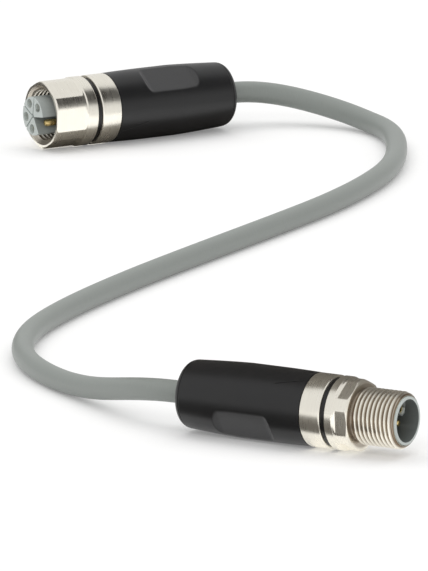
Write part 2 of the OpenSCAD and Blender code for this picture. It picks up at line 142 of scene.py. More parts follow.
class CordSizes(bpy.types.PropertyGroup):
    """Sizes of the pieces, in metres."""

    cable_d: length("Cable", "Outside diameter of the cable jacket", 4.7)
    cord_length: length("Free length", "Length of cable between the two grips", 372)
    heel_len: length("Heel length", "Length of a grip's rounded rear edge", 1.7)
    heel_drop: length("Heel drop", "Radial depth of the rounded rear edge", 0.95)
    belly_rise: length("Belly rise", "Height of the belly above the rounded rear edge", 0.65)
    belly_start: length("Belly start", "Distance from the rear face to the belly", 14)
    belly_len: length("Belly length", "Length of the straight belly", 7)
    recess_depth: length("Recess depth", "Depth of a finger recess below the belly", 0.85)
    recess_start: length("Recess start", "Distance from the rear face to the recess floor", 10.6)
    recess_len: length("Recess length", "Length of the recess floor", 10.7)
    recess_ramp: length("Recess ramp", "Radius of the curve at each end of a recess", 2)
    skirt_w: length("Skirt", "Wall of the shell ring's skirt inside the grip", 0.9)
    exit_edge: length("Cable exit", "Size of the edge where the cable leaves a grip", 0.25)
    soft_edge: length("Soft edge", "Width over which a moulded edge is rounded", 0.16)
    edge: length("Edge", "Chamfer on turned edges", 0.2)
    flat_depth: length("Flat depth", "Depth of the wide flats below the collar", 0.65)
    corner_depth: length("Corner depth", "Depth of the turned corners below the collar", 0.2)
    collar_len: length("Nut collar", "Length of the nut's collar behind its flats", 3.2)
    mouth_chamfer: length("Mouth chamfer", "How far the nut's mouth opens past the thread", 0.6)
    mouth_depth: length("Mouth depth", "Depth of the cone at the nut's mouth", 1)
    nut_gap: length("Nut gap", "Distance from the sleeve's front to the nut's thread", 0.3)
    nut_chamfer: length("Nut chamfer", "Width of the chamfer on the front of the nut", 0.5)
    screw_collar_len: length("Screw collar", "Length of the screw's collar behind its flats", 2.4)
    head_len: length("Head length", "Length of the head of the coupling screw", 5.1)
    head_chamfer: length("Head chamfer", "Width of the chamfer on the screw head", 0.75)
    undercut_len: length("Undercut", "Length of the undercut behind the screw thread", 0.4)
    lip_w: length("Lip", "Width of the lip that keeps a coupling on its connector", 1.5)
    thread_d: length("Thread", "Nominal diameter of the coupling thread", 12)
    thread_pitch: length("Pitch", "Pitch of the coupling thread", 1)
    screw_cut: length("Screw thread depth", "Depth of the screw's thread", 0.5)
    crest_gap: length("Crest gap", "Gap from the screw's crests to the nominal diameter", 0.05)
    screw_wall: length("Screw wall", "Wall between the screw's thread and its bore", 0.28)
    crisp_edge: length("Crisp edge", "Width over which a machined edge is rounded", 0.07)
    nut_angle: angle("Nut angle", "Angle of one wide flat of the nut about its axis", 88.5)
    screw_angle: angle("Screw angle", "Angle of one wide flat of the screw about its axis", 94.5)
    socket_recess: angle("Socket recess", "Angle of one recess of the socket's grip", 145)
    plug_recess: angle("Plug recess", "Angle of one recess of the plug's grip", 123)
    columns: IntProperty(
        name="Columns", description="Faces round a turned piece", default=240, min=96, max=720
    )


class CordColours(bpy.types.PropertyGroup):
    """Colours of the finishes."""

    nickel: colour("Nickel", "Plating of the metal pieces", srgb(251, 246, 234))
    # Painted shade: a darker brown laid into the thread valleys, the screw's undercut and the nut's
    # mouth cone
    valley_shade: colour("Groove", "Metal in the valleys of a thread", srgb(122, 102, 80))
    grip: colour("Grip", "Moulded plastic of the grips", srgb(24, 24, 25))
    recess: colour("Recess", "Plastic in the finger recesses", srgb(54, 54, 55))
    thrust: colour("Thrust ring", "Plastic ring behind each coupling", srgb(16, 15, 15))
    seal: colour("Seal", "Rubber sealing ring", srgb(20, 20, 20))
    carrier: colour("Contact carrier", "Plastic that holds the contacts", srgb(208, 215, 212))
    # Painted shade: the darker grey laid on the carriers' faces that lie in shade
    cup: colour("Cup", "Shaded faces of the contact carriers", srgb(112, 117, 115))
    gold: colour("Gold", "Plating of the contacts", srgb(222, 198, 138))
    cable: colour("Cable", "Jacket of the cable", srgb(140, 145, 141))
    housing: colour("Inner housing", "Plastic inside the grips", srgb(86, 90, 92))
    ferrule: colour("Ferrule", "Brass ferrule on the jacket", srgb(190, 150, 80))
    core_brown: colour("Core 1", "Insulation of the first core", srgb(84, 52, 32))
    core_white: colour("Core 2", "Insulation of the second core", srgb(226, 226, 220))
    core_blue: colour("Core 3", "Insulation of the third core", srgb(40, 84, 150))
    core_black: colour("Core 4", "Insulation of the fourth core", srgb(28, 28, 28))
    core_green: colour("Earth core", "Insulation of the earth core", srgb(52, 122, 52))
    core_yellow: colour("Earth stripe", "Stripe on the earth core", srgb(226, 204, 48))


def sizes():
    return bpy.context.scene.cord_sizes


def colours():
    return bpy.context.scene.cord_colours


# ---- surfaces -------------------------------------------------------------------


def smooth_min(a, b, width):
    """The lesser of a and b, rounded where they are within width of each other: the lesser,
    less width / 4 times the square of the share by which they are nearer than width."""
    near = np.maximum(width - np.abs(a - b), 0) / width
    return np.minimum(a, b) - near**2 * width / 4


def rounded(section, cut, steps=3):
    """A closed outline with its corners rounded. Each corner B becomes the curve
    (1-t)^2 A + 2t(1-t) B + t^2 C, where A and C lie on its two sides, cut away from B,
    or two fifths of a side that is short."""
    corner = np.asarray(section, float)
    to_last = np.roll(corner, 1, axis=0) - corner
    to_next = np.roll(corner, -1, axis=0) - corner
    last_len = np.linalg.norm(to_last, axis=1)
    next_len = np.linalg.norm(to_next, axis=1)
    start = corner + to_last * (np.minimum(cut, 0.4 * last_len) / last_len)[:, None]
    end = corner + to_next * (np.minimum(cut, 0.4 * next_len) / next_len)[:, None]
    t = np.linspace(0, 1, steps + 1)[None, :, None]
    curve = (1 - t) ** 2 * start[:, None] + 2 * t * (1 - t) * corner[:, None] + t * t * end[:, None]
    return curve.reshape(-1, 2)


def filled(outline, step, closed=True):
    """The same outline with points added evenly, so that no side is longer than step."""
    ahead = np.roll(outline, -1, axis=0) - outline
    if not closed:
        ahead[-1] = 0
    counts = np.maximum(1, np.ceil(np.linalg.norm(ahead, axis=1) / step)).astype(int)
    side = np.repeat(np.arange(len(outline)), counts)
    first = np.repeat(np.cumsum(counts) - counts, counts)
    share = (np.arange(len(side)) - first) / counts[side]
    return outline[side] + share[:, None] * ahead[side]


# Columns nearer than this, in radians, are one
LEAST_TURN = 1e-4


def column_angles(extra=()):
    """Angles round a turned piece, even steps with any extra ones between; both ends of the turn
    are in."""
    even = np.linspace(0, TURN, sizes().columns + 1)
    extra = np.mod(np.asarray(extra, float), TURN)
    every = np.sort(np.concatenate([even, extra]))
    apart = np.append(True, np.diff(every) > LEAST_TURN)
    apart[-1] = False
    return np.append(every[apart], TURN)


def turned(radius, height, angles):
    """Grid of a turned form: the point at angle a is (r cos a, r sin a, z). Radius and height hold
    one value for each row, or a row of them that change with the angle. Sine and cosine are taken
    from the start of the turn at its end."""
    within = np.where(np.isclose(angles, TURN), 0, angles)
    shape = (len(radius), len(angles))
    radius, height = (
        np.broadcast_to(value if value.ndim == 2 else value[:, None], shape)
        for value in (radius, height)
    )
    return np.stack([radius * np.cos(within), radius * np.sin(within), height], axis=-1)


# Points nearer than this are one
WELD = 0.0002 * MM


def mesh_from_grid(name, grid, sharp=30, closed=True, mark=None):
    """A mesh of one face for each cell of a grid of points. Points that fall together are one
    vertex, faces that shrink to a line are dropped, and all faces point outwards. Mark, a value
    for each point of the grid, is kept as an attribute for the finish."""
    if closed:
        grid = np.concatenate([grid, grid[:1]])
        mark = None if mark is None else np.concatenate([mark, mark[:1]])
    rows, columns = grid.shape[:2]
    points = grid.reshape(-1, 3)
    place = np.round(points / WELD).astype(np.int64)
    _, first, index = np.unique(place, axis=0, return_index=True, return_inverse=True)
    index = index.reshape(rows, columns)
    around = [index[:-1, :-1], index[:-1, 1:], index[1:, 1:], index[1:, :-1]]
    cells = np.stack(around, axis=-1).reshape(-1, 4)
    same = cells == np.roll(cells, -1, axis=1)
    quads = cells[same.sum(axis=1) == 0]
    once = same.sum(axis=1) == 1
    triangles = cells[once][~same[once]].reshape(-1, 3)
    vertices = points[first]
    split = np.concatenate([quads[:, [0, 1, 2]], quads[:, [0, 2, 3]], triangles])
    a, b, c = (vertices[split[:, k]] for k in range(3))
    if np.einsum("ij,ij->i", a, np.cross(b, c)).sum() < 0:
        quads, triangles = quads[:, ::-1], triangles[:, ::-1]
    mesh = bpy.data.meshes.new(name)
    mesh.from_pydata(vertices, [], quads.tolist() + triangles.tolist())
    if mark is not None:
        kept = mesh.attributes.new("mark", "FLOAT", "POINT")
        kept.data.foreach_set("value", mark.reshape(-1)[first].astype(np.float32))
    mesh.shade_smooth()
    mesh.set_sharp_from_angle(angle=math.radians(sharp))
    mesh.validate()
    return mesh


def add_piece(name, mesh, body, material, node):
    """Puts a finished mesh into the scene as the piece that stands in for a CAD node."""
    piece = bpy.data.objects.new(name, mesh)
    bpy.context.scene.collection.objects.link(piece)
    mesh.materials.append(material)
    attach(piece, body)
    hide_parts(node)
    return piece


def turned_piece(name, connector, outline, material, node):
    """A piece that doesn't move, turned from one closed outline of [radius, height] points."""
    grid = turned(outline[:, 0], outline[:, 1], column_angles())
    mesh = mesh_from_grid(name, connector.placed(grid))
    return add_piece(name, mesh, "root", material, node)


# ---- wiring of finishes ---------------------------------------------------------


class Finish:
    """A material, or the world, while it is wired. add() makes a node, sets its plain inputs and
    links the others. It returns the output of that number, or the node where it is None."""

    def __init__(self, name, owner=None):
        self.owner = owner or bpy.data.materials.new(name)
        self.owner.use_nodes = True
        self.tree = self.owner.node_tree
        self.tree.nodes.clear()

    def add(self, kind, inputs=None, output=0, **settings):
        node = self.tree.nodes.new(kind)
        for key, value in settings.items():
            setattr(node, key, value)
        for key, value in (inputs or {}).items():
            self.feed(node.inputs[key], value)
        return node if output is None or not node.outputs else node.outputs[output]

    def feed(self, socket, value):
        """Links another node's output to a socket, or sets the socket to a plain value."""
        if isinstance(value, bpy.types.NodeSocket):
            self.tree.links.new(value, socket)
        else:
            socket.default_value = value

    def maths(self, operation, *values):
        return self.add("ShaderNodeMath", dict(enumerate(values)), operation=operation)

    def kept(self, attribute):
        """The value that a mesh keeps in an attribute, or 0 where it has none."""
        return self.add("ShaderNodeAttribute", output=2, attribute_name=attribute)

    def own_place(self, connector=None):
        """Place on the piece in millimetres, in the connector's own axes where one is given."""
        place = self.add("ShaderNodeTexCoord", output=3)
        if connector:
            turn = tuple(Matrix(connector.axes.tolist()).to_euler())
            inputs = {0: place, 1: tuple(connector.origin), 2: turn}
            place = self.add("ShaderNodeMapping", inputs, vector_type="TEXTURE")
        return self.add("ShaderNodeVectorMath", {0: place, 3: 1 / MM}, operation="SCALE")

    def stretched(self, place, factors):
        return self.add("ShaderNodeVectorMath", {0: place, 1: factors}, operation="MULTIPLY")

    def noise(self, place, scale, detail=2.0, roughness=0.5):
        inputs = {"Vector": place, "Scale": scale, "Detail": detail, "Roughness": roughness}
        return self.add("ShaderNodeTexNoise", inputs)

    def spread(self, value, low, high):
        """Maps noise, which lies mostly from 0.3 to 0.7, to the values from low to high."""
        return self.add("ShaderNodeMapRange", {0: value, 1: 0.3, 2: 0.7, 3: low, 4: high})

    def mixed(self, share, first, second):
        """A colour between two."""
        node = self.add("ShaderNodeMix", output=None, data_type="RGBA")
        for key, value in ((0, share), (6, first), (7, second)):
            self.feed(node.inputs[key], (*value[:3], 1) if isinstance(value, tuple) else value)
        return node.outputs[2]

    def mottled(self, noise, base, low, high):
        """A colour whose brightness noise takes from low to high times its own."""
        return self.mixed(self.spread(noise, 0, 1), scaled(base, low), scaled(base, high))

    def bump(self, height, depth, under=None):
        """A normal raised by height times a depth in millimetres, on top of another if given."""
        inputs = {"Height": height, "Distance": depth * MM, "Strength": 1.0}
        if under:
            inputs["Normal"] = under
        return self.add("ShaderNodeBump", inputs)

    def done(self, **inputs):
        """Ends the material in one Principled shader."""
        named = {key.replace("_", " "): value for key, value in inputs.items()}
        shader = self.add("ShaderNodeBsdfPrincipled", named)
        self.add("ShaderNodeOutputMaterial", {0: shader})
        return self.owner


def scaled(base, factor):
    """A colour times a factor, no channel past 1."""
    return tuple(min(1.0, channel * factor) for channel in base)


# ---- finishes -------------------------------------------------------------------


def turned_nickel(connector):
    """Satin nickel on turned brass: fine lathe marks run round the axis, some deeper than others,
    and the gloss changes a little from mark to mark. The mark on a coupling is how deep in the
    thread's valleys a point lies: there shade is painted in, as a duller, darker brown."""
    finish = Finish(f"turned_nickel_{connector.end}")
    place = finish.own_place(connector)
    flat = finish.stretched(place, (1, 1, 0))
    round_axis = finish.add("ShaderNodeVectorMath", {0: flat}, operation="NORMALIZE")
    along = finish.stretched(place, (0, 0, 1))
    # Five lathe marks to the millimetre, which change slowly round the axis
    inputs = {0: along, 1: (5.0, 5.0, 5.0), 2: round_axis}
    marks_at = finish.add("ShaderNodeVectorMath", inputs, operation="MULTIPLY_ADD")
    marks = finish.noise(marks_at, 1.0, detail=4, roughness=0.65)
    patches = finish.noise(place, 0.35, detail=3)
    valley = finish.kept("mark")
    base = colours().nickel
    shade = finish.mottled(marks, base, 0.96, 1.05)
    shade = finish.mixed(finish.spread(patches, 0, 0.15), shade, scaled(base, 0.9))
    # Painted shade: the thread's valleys turn to the darker valley shade colour and are made less
    # metallic
    shade = finish.mixed(valley, shade, tuple(colours().valley_shade))
    rough = finish.maths("ADD", finish.spread(marks, 0.24, 0.3), finish.spread(patches, 0, 0.04))
    return finish.done(
        Base_Color=shade,
        Metallic=finish.maths("MULTIPLY_ADD", valley, -0.3, 1.0),
        Roughness=rough,
        Normal=finish.bump(marks, 0.002),
    )


# Fine lines that the mould leaves on a grip, in millimetres along it: one round the heel, a
# fainter one round the middle, and a slanting one that starts and ends so far behind the seam
HEEL_LINE = 1.1
MIDDLE_LINE = 14.5
MIDDLE_FAINTER = 0.14
SLANT_BEHIND = (6.7, 1.0)
# Degrees above the level side at which the slanting line starts and ends
SLANT_RISE = {"female": (-19, -31), "male": (47, 59)}
# Millimetres from a line's middle at which it starts to fade and is gone, and the radius that
# turns an angle into millimetres round the grip
LINE_FADE = (0.07, 0.19)
LINE_RADIUS = 8.0


def witness_lines(finish, connector, place):
    """Where the mould's lines are: 1 on a line and 0 off it. The slanting one keeps to the angle
    about the axis that grows evenly along it, on the side of the grip that faces forward."""
    seam = connector.heights(f"{connector.end}_grip")[1] / MM
    level = math.copysign(TURN / 4, -connector.axes[1, 1])
    start_z, end_z = (seam - behind for behind in SLANT_BEHIND)
    start, end = (level * (1 + rise / 90) for rise in SLANT_RISE[connector.end])
    slope = (end - start) / (end_z - start_z)
    x, y, z = finish.add("ShaderNodeSeparateXYZ", {0: place}, output=None).outputs
    turn = finish.maths("ARCTAN2", y, x)
    line_turn = finish.maths("MULTIPLY_ADD", z, slope, start - slope * start_z)
    slant = finish.maths("ABSOLUTE", finish.maths("SUBTRACT", turn, line_turn))
    slant = finish.maths("MULTIPLY", slant, LINE_RADIUS)
    after, before = finish.maths("SUBTRACT", z, end_z), finish.maths("SUBTRACT", start_z, z)
    slant = finish.maths("MAXIMUM", slant, finish.maths("MAXIMUM", after, before))
    heel = finish.maths("ABSOLUTE", finish.maths("SUBTRACT", z, HEEL_LINE))
    middle = finish.maths("ABSOLUTE", finish.maths("SUBTRACT", z, MIDDLE_LINE))
    middle = finish.maths("ADD", middle, MIDDLE_FAINTER)
    away = finish.maths("MINIMUM", slant, finish.maths("MINIMUM", heel, middle))
    near, far = LINE_FADE
    return finish.add("ShaderNodeMapRange", {0: away, 1: near, 2: far, 3: 1, 4: 0})


def grip_plastic(connector):
    """Black moulded plastic with a fine spark-eroded grain, a faint drift in gloss and the fine
    lines of its mould. The mark on a grip is 1 in its finger recesses, which are a little greyer
    and have no lines."""
    finish = Finish(f"grip_plastic_{connector.end}")
    place = finish.own_place(connector)
    lines = witness_lines(finish, connector, place)
    grain = finish.noise(place, 9.0, detail=3, roughness=0.6)
    drift = finish.noise(place, 0.25, detail=2)
    recess = finish.kept("mark")
    base = colours().grip
    shade = finish.mottled(grain, base, 0.8, 1.25)
    shade = finish.mixed(recess, shade, finish.mottled(grain, colours().recess, 0.7, 1.35))
    lines = finish.maths("MULTIPLY", lines, finish.maths("SUBTRACT", 1.0, recess))
    rough = finish.maths("ADD", finish.spread(grain, 0.33, 0.4), finish.spread(drift, 0, 0.05))
    low = finish.bump(finish.maths("MULTIPLY", lines, -1.0), 0.05)
    return finish.done(
        Base_Color=finish.mixed(lines, shade, scaled(base, 0.1)),
        Roughness=finish.maths("MULTIPLY_ADD", lines, 0.4, rough),
        Normal=finish.bump(grain, 0.006, under=low),
    )


def carrier_plastic():
    """Light grey glass-filled polyamide: fibres show as a faint mottle. Shade is painted on the
    faces that are marked as inner, which take the darker cup colour."""
    finish = Finish("carrier_plastic")
    place = finish.own_place()
    fibres = finish.noise(finish.stretched(place, (1, 1, 2.5)), 4.0, detail=4, roughness=0.6)
    shade = finish.mottled(fibres, colours().carrier, 0.93, 1.05)
    # Painted shade: the darker cup colour for the faces marked as inner
    dark = finish.mottled(fibres, colours().cup, 0.93, 1.05)
    return finish.done(
        Base_Color=finish.mixed(finish.kept("inner"), shade, dark),
        Roughness=finish.spread(fibres, 0.4, 0.5),
        Normal=finish.bump(fibres, 0.004),
    )


def cable_jacket():
    """Grey polyurethane jacket: satin, with a fine grain and faint marks that run round it."""
    finish = Finish("cable_jacket")
    along = finish.add("ShaderNodeUVMap", uv_map="along_cable")
    drawn = finish.noise(finish.stretched(along, (18.0, 1.2, 1)), 1.0, detail=3)
    grain = finish.noise(finish.own_place(), 7.0, detail=3, roughness=0.6)
    return finish.done(
        Base_Color=finish.mottled(drawn, colours().cable, 0.94, 1.05),
        Roughness=finish.spread(grain, 0.4, 0.5),
        Normal=finish.bump(grain, 0.006),
    )


# Finishes of one colour with a fine grain: the colour, the noise's scale and detail, the least and
# greatest brightness and roughness, the grain's depth in millimetres, and whether it is metal
GRAINED = {
    "thrust_ring_plastic": ("thrust", 5.0, 2, (0.7, 1.4), (0.3, 0.4), 0.004, False),
    "seal_rubber": ("seal", 12.0, 3, (0.8, 1.5), (0.5, 0.65), 0.006, False),
    "housing_plastic": ("housing", 6.0, 3, (0.9, 1.1), (0.42, 0.52), 0.005, False),
    "contact_gold": ("gold", 8.0, 3, (0.85, 1.05), (0.2, 0.3), 0.002, True),
    "ferrule_brass": ("ferrule", 4.0, 3, (0.85, 1.1), (0.25, 0.38), 0.004, True),
}


def grained(name):
    """A finish of one colour with a fine grain. The grain of the ferrules' rolled brass is drawn
    out level."""
    base, scale, detail, shades, roughness, depth, metal = GRAINED[name]
    finish = Finish(name)
    place = finish.own_place()
    if name == "ferrule_brass":
        place = finish.stretched(place, (1, 1, 4))
    grain = finish.noise(place, scale, detail)
    return finish.done(
        Base_Color=finish.mottled(grain, getattr(colours(), base), *shades),
        Metallic=1.0 if metal else 0.0,
        Roughness=finish.spread(grain, *roughness),
        Normal=finish.bump(grain, depth),
    )


def core_insulation(name, first, second=None):
    """Glossy insulation of one core; the earth core has a second colour in long stripes."""
    finish = Finish(name)
    place = finish.own_place()
    grain = finish.noise(place, 8.0, detail=2)
    shade = finish.mottled(grain, first, 0.92, 1.06)
    if second:
        inputs = {"Vector": place, "Scale": 0.35}
        wave = finish.add("ShaderNodeTexWave", inputs, output=1, bands_direction="Z")
        shade = finish.mixed(finish.maths("GREATER_THAN", wave, 0.5), shade, tuple(second))
    return finish.done(
        Base_Color=shade,
        Roughness=finish.spread(grain, 0.3, 0.42),
        Normal=finish.bump(grain, 0.004),
    )


FINISHES = {}


def shared(maker, *given):
    """A finish made once by a function above and then shared."""
    key = (maker.__name__, *(getattr(value, "end", value) for value in given))
    if key not in FINISHES:
        FINISHES[key] = maker(*given)
    return FINISHES[key]


def dress_node(node, material):
    """Gives a CAD node that stays in view its finish."""
    mesh = frame["nodes"][node].data
    mesh.materials.clear()
    mesh.materials.append(material)


# ---- camera, light and floor ----------------------------------------------------


def studio_world():
    """Even pale light from all round. Rays that go to the camera, pass through glass or come off
    gloss see it paler."""
    world = bpy.data.worlds.new("studio")
    bpy.context.scene.world = world
    sky = Finish("studio", world)
    path = sky.add("ShaderNodeLightPath", output=None).outputs
    seen = sky.maths("MAXIMUM", path["Is Camera Ray"], path["Is Glossy Ray"])
    seen = sky.maths("MAXIMUM", seen, path["Is Transmission Ray"])
    light = sky.add("ShaderNodeBackground", {"Color": (1, 0.995, 0.985, 1), "Strength": 0.62})
    pale = sky.add("ShaderNodeBackground", {"Color": (0.8, 0.8, 0.8, 1), "Strength": 1.0})
    either = sky.add("ShaderNodeMixShader", {0: seen, 1: light, 2: pale})
    sky.add("ShaderNodeOutputWorld", {0: either})


# What the floor adds to the light that it returns, for rays to the camera or through glass and
# for rays off gloss
SEEN_LIFT = 0.2
GLOSS_LIFT = 0.4


def floor_paint():
    """White paint that keeps the shadow. Rays to the camera or through glass see it a little
    whiter, and rays off gloss more so."""
    paint = Finish("floor_paint")
    path = paint.add("ShaderNodeLightPath", output=None).outputs
    seen = paint.maths("MAXIMUM", path["Is Camera Ray"], path["Is Transmission Ray"])
    seen = paint.maths("MULTIPLY", seen, SEEN_LIFT)
    gloss = paint.maths("MULTIPLY", path["Is Glossy Ray"], GLOSS_LIFT)
    glow = paint.add("ShaderNodeEmission", {1: paint.maths("MAXIMUM", seen, gloss)})
    grain = paint.noise(paint.own_place(), 0.02, detail=2)
    diffuse = paint.add("ShaderNodeBsdfDiffuse", {0: paint.mottled(grain, (1, 1, 1), 0.8, 0.82)})
    both = paint.add("ShaderNodeAddShader", {0: diffuse, 1: glow})
    paint.add("ShaderNodeOutputMaterial", {0: both})
    return paint.owner


def card_paint(shade):
    """Matt warm grey of the cards that darken a reflection."""
    paint = Finish("card_paint")
    grain = paint.noise(paint.own_place(), 0.1)
    mixed = paint.mottled(grain, (shade, 0.94 * shade, 0.86 * shade), 0.9, 1.1)
    return paint.done(Base_Color=mixed, Roughness=0.9, Specular_IOR_Level=0.1)


def aimed(obj, towards):
    """Turns a camera or lamp to look at a point."""
    look = Vector(towards) - obj.location
    obj.rotation_euler = look.to_track_quat("-Z", "Y").to_euler()


def add_lamp(name, at, towards, width, depth, power):
    """A soft rectangular lamp. Gloss sees the pale surroundings instead of it."""
    light = bpy.data.lights.new(name, "AREA")
    light.shape = "RECTANGLE"
    light.size, light.size_y = width, depth
    light.energy = power
    lamp = bpy.data.objects.new(name, light)
    bpy.context.scene.collection.objects.link(lamp)
    lamp.location = at
    lamp.visible_glossy = False
    aimed(lamp, towards)


# The camera looks down at its aim by this angle from this far
VIEW_RISE = math.radians(11.94)
VIEW_DISTANCE = 4.04
VIEW_AIM = Vector((0, 0, 0.00013))
TO_CAMERA = np.array([0.0, -math.cos(VIEW_RISE), math.sin(VIEW_RISE)])
# Height of the level cards above the surface
CARD_LIFT = 0.2 * MM
# Where the cards before a front face start and end, and how tall the standing one is
FACING_NEAR = 12 * MM
FACING_FAR = 100 * MM
FACING_TALL = 80 * MM


def add_card(name, corners, shade):
    """A grey card that only reflections see; shade is the share of light that it returns."""
    mesh = bpy.data.meshes.new(name)
    mesh.from_pydata(corners, [], [(0, 1, 2, 3)])
    mesh.materials.append(shared(card_paint, shade))
    card = bpy.data.objects.new(name, mesh)
    bpy.context.scene.collection.objects.link(card)
    card.visible_camera = False
    card.visible_diffuse = False
    card.visible_shadow = False


def card_round(name, connector, along, low, high, half_length, shade):
    """A card that the camera sees in a connector's round side. Low and high are its two long
    edges, each a turn in degrees, 0 level on the camera's side and 90 up, and a distance in
    millimetres. A ray that comes off the side keeps its slope to the axis, so each edge lies back
    along the axis by that slope."""
    axis = connector.axes[:, 2]
    slope = TO_CAMERA @ axis
    level = np.cross(axis, [0, 0, 1])
    level *= np.sign(level @ TO_CAMERA)
    corners = []
    for (turn, away), side in ((low, -1), (low, 1), (high, 1), (high, -1)):
        angle_up = math.radians(turn)
        square = math.cos(angle_up) * level + math.sin(angle_up) * np.array([0, 0, 1])
        lean = math.sqrt(1 - slope**2) * square - slope * axis
        start = connector.placed(np.array([0, 0, (along + side * half_length) * MM]))
        corners.append(start + away * MM * lean)
    add_card(name, corners, shade)


def card_beside(name, connector, start, end, width, shade):
    """A card on the floor under a connector and on the camera's side of it."""
    towards = np.sign(connector.axes[:, 1] @ TO_CAMERA)
    low = connector.origin[2] - CARD_LIFT
    wide = towards * width * MM
    start, end = start * MM, end * MM
    corners = [(low, 0, start), (low, wide, start), (low, wide, end), (low, 0, end)]
    add_card(name, connector.placed(np.array(corners)), shade)


def card_facing(name, connector, along, half_width, shade):
    """Two cards that the front faces of a connector reflect: one on the floor before it and one
    that stands behind that."""
    face = connector.placed(np.array([0, 0, along * MM])) * (1, 1, 0)
    ahead = connector.axes[:, 2] * (1, -1, 0)
    near, far = face + FACING_NEAR * ahead, face + FACING_FAR * ahead
    wide = half_width * MM * np.array([-ahead[1], ahead[0], 0])
    low, tall = np.array([0, 0, CARD_LIFT]), np.array([0, 0, FACING_TALL])
    level = [near - wide + low, near + wide + low, far + wide + low, far - wide + low]
    add_card(f"{name}_floor", level, shade)
    add_card(f"{name}_back", [far - wide, far + wide, far + wide + tall, far - wide + tall], shade)


class CORD_OT_stage(bpy.types.Operator):
    """Adds the camera, a pale floor and plain soft light"""

    bl_idname = "cord.stage"
    bl_label = "Stage"

    def execute(self, context):
        view = bpy.data.cameras.new("view")
        view.lens = 1200
        view.sensor_width = 36
        view.clip_end = 50
        camera = bpy.data.objects.new("view", view)
        context.scene.collection.objects.link(camera)
        camera.location = VIEW_AIM + VIEW_DISTANCE * Vector(TO_CAMERA)
        aimed(camera, VIEW_AIM)
        context.scene.camera = camera

        studio_world()
        add_lamp("top_softbox", (0, 0.25, 1.1), (0, 0, 0), 1.8, 1.5, 7.6)
        add_lamp("front_softbox", (-0.2, -1.1, 0.75), (0, 0, 0), 0.9, 0.5, 3.0)

        reach = np.array([0.0, 0.1, 0.25, 0.5, 1.0, 2.0, 4.0])
        grid = turned(reach, np.zeros_like(reach), np.linspace(0, TURN, 97))
        floor = bpy.data.objects.new("floor", mesh_from_grid("floor", grid, closed=False))
        floor.data.materials.append(shared(floor_paint))
        context.scene.collection.objects.link(floor)

        card_round("socket_above", SOCKET, 25, (28, 500), (80, 500), 250, 0.03)
        card_round("plug_before", PLUG, 24, (-38, 12.5), (-7, 62), 30, 0.13)
        card_round("plug_behind", PLUG, 24, (74, 45), (185, 45), 40, 0.26)
        card_beside("socket_under", SOCKET, -12, 56, 12, 0.26)
        card_facing("socket_face", SOCKET, 46, 48, 0.1)
        card_facing("plug_face", PLUG, 40, 60, 0.25)
        return {"FINISHED"}


# ---- cable ----------------------------------------------------------------------

# The free stretch from behind the socket's grip to behind the plug's, in millimetres
FREE_ROUTE_MM = [
    (5.64, 170.63, 7.74), (10.15, 172.23, 7.36), (15.42, 172.87, 6.52), (20.91, 172.14, 5.39),
    (26.1, 170.07, 4.25), (30.71, 166.88, 3.24), (34.38, 162.67, 2.55), (36.81, 158.17, 2.37),
    (38.6, 152.37, 2.35), (39.6, 146.17, 2.35), (40, 138.57, 2.35), (39.9, 130.07, 2.35),
    (39.1, 120.07, 2.35), (37.1, 109.07, 2.35), (33.6, 97.07, 2.35), (28.9, 84.57, 2.35),
    (23.3, 72.07, 2.35), (16.9, 59.57, 2.35), (10.2, 47.07, 2.35), (3.4, 34.57, 2.35),
    (-3.4, 22.07, 2.35), (-10.1, 9.57, 2.35), (-16.6, -2.93, 2.35), (-22.8, -15.63, 2.35),
    (-28.6, -28.43, 2.35), (-33.8, -41.63, 2.35), (-37.8, -55.03, 2.35), (-39.7, -68.43, 2.35),
    (-39.3, -81.83, 2.35), (-36, -95.43, 2.35), (-30.6, -107.84, 2.55), (-24.6, -118.93, 3.7),
    (-19, -128.43, 5.6), (-14.6, -134.83, 6.95), (-10.2, -139.24, 7.64),
]


def spline(points, per_side):
    """A curve with no kink in slope or bend through all the points: between two of them it is
    the cubic whose bends at its ends solve the usual three-term equations, and at the two loose
    ends the bend is nought."""
    points = np.asarray(points, float)
    gaps = np.linalg.norm(np.diff(points, axis=0), axis=1)
    count = len(points)
    matrix = np.eye(count)
    right = np.zeros_like(points)
    inner = np.arange(1, count - 1)
    matrix[inner, inner - 1] = gaps[:-1]
    matrix[inner, inner] = 2 * (gaps[:-1] + gaps[1:])
    matrix[inner, inner + 1] = gaps[1:]
    slopes = np.diff(points, axis=0) / gaps[:, None]
    right[1:-1] = 6 * np.diff(slopes, axis=0)
    bend = np.linalg.solve(matrix, right)
    t = (np.arange(per_side) / per_side)[None, :, None]
    gap = gaps[:, None, None]
    start, end = points[:-1, None], points[1:, None]
    bend_a, bend_b = bend[:-1, None], bend[1:, None]
    bent = ((1 - t) ** 3 - (1 - t)) * bend_a + (t**3 - t) * bend_b
    curve = (1 - t) * start + t * end + gap**2 / 6 * bent
    return np.concatenate([curve.reshape(-1, 3), points[-1:]])


def tube_grid(path, radius, sides):
    """A round tube along a path that stays near level: the ring at each point is spanned by the
    level direction square to the path and by the direction square to both."""
    along = np.gradient(path, axis=0)
    along /= np.linalg.norm(along, axis=1)[:, None]
    level = np.cross(along, [0, 0, 1])
    level /= np.linalg.norm(level, axis=1)[:, None]
    rise = np.cross(level, along)
    turn = np.linspace(0, TURN, sides + 1)
    turn[-1] = 0
    out = np.cos(turn)[None, :, None] * level[:, None] + np.sin(turn)[None, :, None] * rise[:, None]
    return path[:, None] + radius * out


